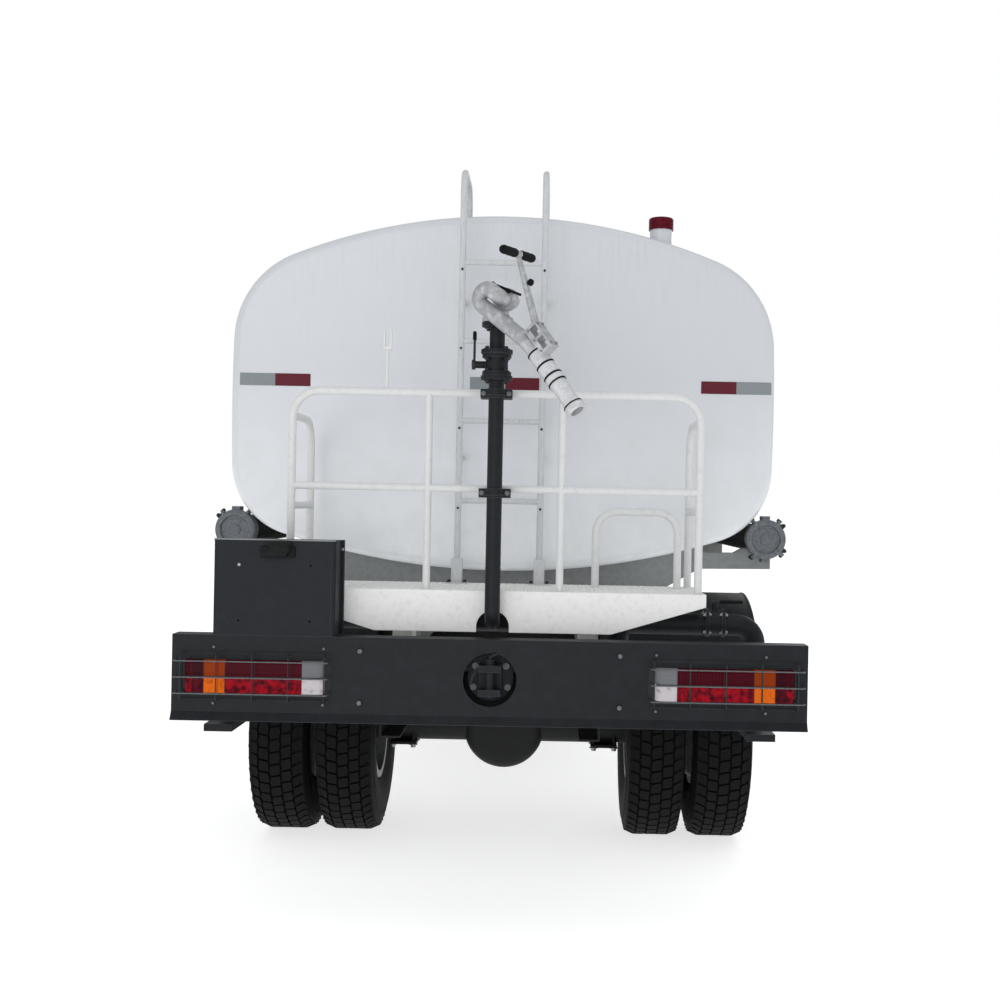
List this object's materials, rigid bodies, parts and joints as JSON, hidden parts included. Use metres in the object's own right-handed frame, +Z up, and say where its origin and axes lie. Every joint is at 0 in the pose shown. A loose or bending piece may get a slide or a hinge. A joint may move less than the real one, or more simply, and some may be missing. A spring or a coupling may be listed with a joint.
{
  "type": "water tanker truck",
  "caption": "Two-axle cab-over water tanker truck with an oval tank, a railed rear platform and a swivelling water monitor on a standpipe.",
  "frame": {"origin": "on the ground under the middle of the overall box", "axes": "X to the truck's right, Y forward, Z up"},
  "size_m": [2.88, 8.0052, 3.13],
  "materials": {
    "tank_white": "gloss white paint",
    "rail_white": "warm white paint",
    "cab_white": "gloss white paint",
    "dark_paint": "satin slate paint",
    "frame_paint": "matt black chassis paint",
    "saddle_grey": "grey primer",
    "front_grey": "white paint",
    "rim_steel": "silver paint",
    "tyre_rubber": "matt rubber",
    "hose_rubber": "ribbed rubber",
    "cast_aluminium": "sand cast",
    "iron": "painted casting",
    "lamp_red": "clear red plastic",
    "lamp_clear": "clear plastic",
    "guard_wire": "grey paint",
    "window_glass": "tinted glass",
    "seat_cloth": "woven cloth",
    "dark_plastic": "grained plastic",
    "sheet_aluminium": "bright sheet",
    "box_paint": "satin black",
    "hot_steel": "heat dulled steel",
    "lid_white": "gloss white paint"
  },
  "bodies": {
    "chassis": {"chassis_rails": "frame_paint", "cross_members": "frame_paint", "rear_bumper": "dark_paint", "tail_lamps": "lamp_red", "lamp_guards": "guard_wire", "tow_jaw": "dark_paint", "tank": "tank_white", "tank_cradle": "saddle_grey", "ladder": "rail_white", "platform": "rail_white", "railing": "rail_white", "standpipe": "dark_paint", "equipment_box": "dark_paint", "suction_hoses": "hose_rubber", "hose_couplings": "cast_aluminium", "water_pipework": "dark_paint", "beacon": "lamp_red", "mudguards": "dark_plastic", "rear_axle": "iron", "front_axle": "iron", "drive_train": "iron", "fuel_tank": "sheet_aluminium", "battery_box": "box_paint", "side_guards": "front_grey", "silencer": "hot_steel", "front_bumper": "front_grey", "headlamps": "lamp_clear", "water_main": "dark_paint", "pump": "iron"},
    "cab": {"cab_floor": "cab_white", "cab_roof": "cab_white", "cab_back": "cab_white", "cab_front": "cab_white", "cab_sides": "cab_white", "cab_glass": "window_glass", "grille": "dark_plastic", "dashboard": "dark_plastic", "seats": "seat_cloth", "mirrors": "dark_plastic"},
    "left_door": {"door_left": "cab_white", "door_glass_left": "window_glass"},
    "right_door": {"door_right": "cab_white", "door_glass_right": "window_glass"},
    "left_knuckle": {"knuckle_left": "iron"},
    "right_knuckle": {"knuckle_right": "iron"},
    "track_rod": {"tie_rod": "iron"},
    "left_front_wheel": {"front_wheel_left": "rim_steel", "front_tyre_left": "tyre_rubber"},
    "right_front_wheel": {"front_wheel_right": "rim_steel", "front_tyre_right": "tyre_rubber"},
    "left_rear_wheels": {"rear_wheels_left": "rim_steel", "rear_tyres_left": "tyre_rubber"},
    "right_rear_wheels": {"rear_wheels_right": "rim_steel", "rear_tyres_right": "tyre_rubber"},
    "monitor_swivel": {"monitor_head": "cast_aluminium"},
    "monitor_tube": {"monitor_barrel": "cast_aluminium"},
    "hatch": {"manhole_lid": "lid_white"}
  },
  "joints": [
    {"name": "cab_tilt", "type": "hinge", "parent": "chassis", "child": "cab", "pos_m": [0, 3.868, 0.98], "axis": [-1, 0, 0], "range_deg": [0, 45]},
    {"name": "left_door_swing", "type": "hinge", "parent": "cab", "child": "left_door", "pos_m": [-1.196, 3.582, 1.65], "axis": [0, 0, -1], "range_deg": [0, 70]},
    {"name": "right_door_swing", "type": "hinge", "parent": "cab", "child": "right_door", "pos_m": [1.196, 3.582, 1.65], "axis": [0, 0, 1], "range_deg": [0, 70]},
    {"name": "steer_left", "type": "hinge", "parent": "chassis", "child": "left_knuckle", "pos_m": [-0.85, 2.588, 0.53], "axis": [0, 0, 1], "range_deg": [-35, 35]},
    {"name": "steer_right", "type": "hinge", "parent": "chassis", "child": "right_knuckle", "pos_m": [0.85, 2.588, 0.53], "axis": [0, 0, 1], "range_deg": [-35, 35]},
    {"name": "track_rod_swing", "type": "hinge", "parent": "left_knuckle", "child": "track_rod", "pos_m": [-0.85, 2.358, 0.43], "axis": [0, 0, 1], "range_deg": [-35, 35]},
    {"name": "left_front_spin", "type": "hinge", "parent": "left_knuckle", "child": "left_front_wheel", "pos_m": [-1.005, 2.588, 0.53], "axis": [1, 0, 0], "continuous": true},
    {"name": "right_front_spin", "type": "hinge", "parent": "right_knuckle", "child": "right_front_wheel", "pos_m": [1.005, 2.588, 0.53], "axis": [1, 0, 0], "continuous": true},
    {"name": "left_rear_spin", "type": "hinge", "parent": "chassis", "child": "left_rear_wheels", "pos_m": [-0.915, -2.012, 0.53], "axis": [1, 0, 0], "continuous": true},
    {"name": "right_rear_spin", "type": "hinge", "parent": "chassis", "child": "right_rear_wheels", "pos_m": [0.915, -2.012, 0.53], "axis": [1, 0, 0], "continuous": true},
    {"name": "monitor_yaw", "type": "hinge", "parent": "chassis", "child": "monitor_swivel", "pos_m": [0, -3.66, 2.39], "axis": [0, 0, 1], "range_deg": [-125, 45]},
    {"name": "monitor_pitch", "type": "hinge", "parent": "monitor_swivel", "child": "monitor_tube", "pos_m": [0.06857, -3.7012, 2.467], "axis": [-0.515, -0.8572, 0], "range_deg": [-4, 104]},
    {"name": "hatch_hinge", "type": "hinge", "parent": "chassis", "child": "hatch", "pos_m": [0, -0.122, 3.06], "axis": [-1, 0, 0], "range_deg": [0, 100]}
  ],
  "couplings": [
    {"joint": "steer_right", "follows": "steer_left", "ratio": 1},
    {"joint": "track_rod_swing", "follows": "steer_left", "ratio": -1}
  ]
}
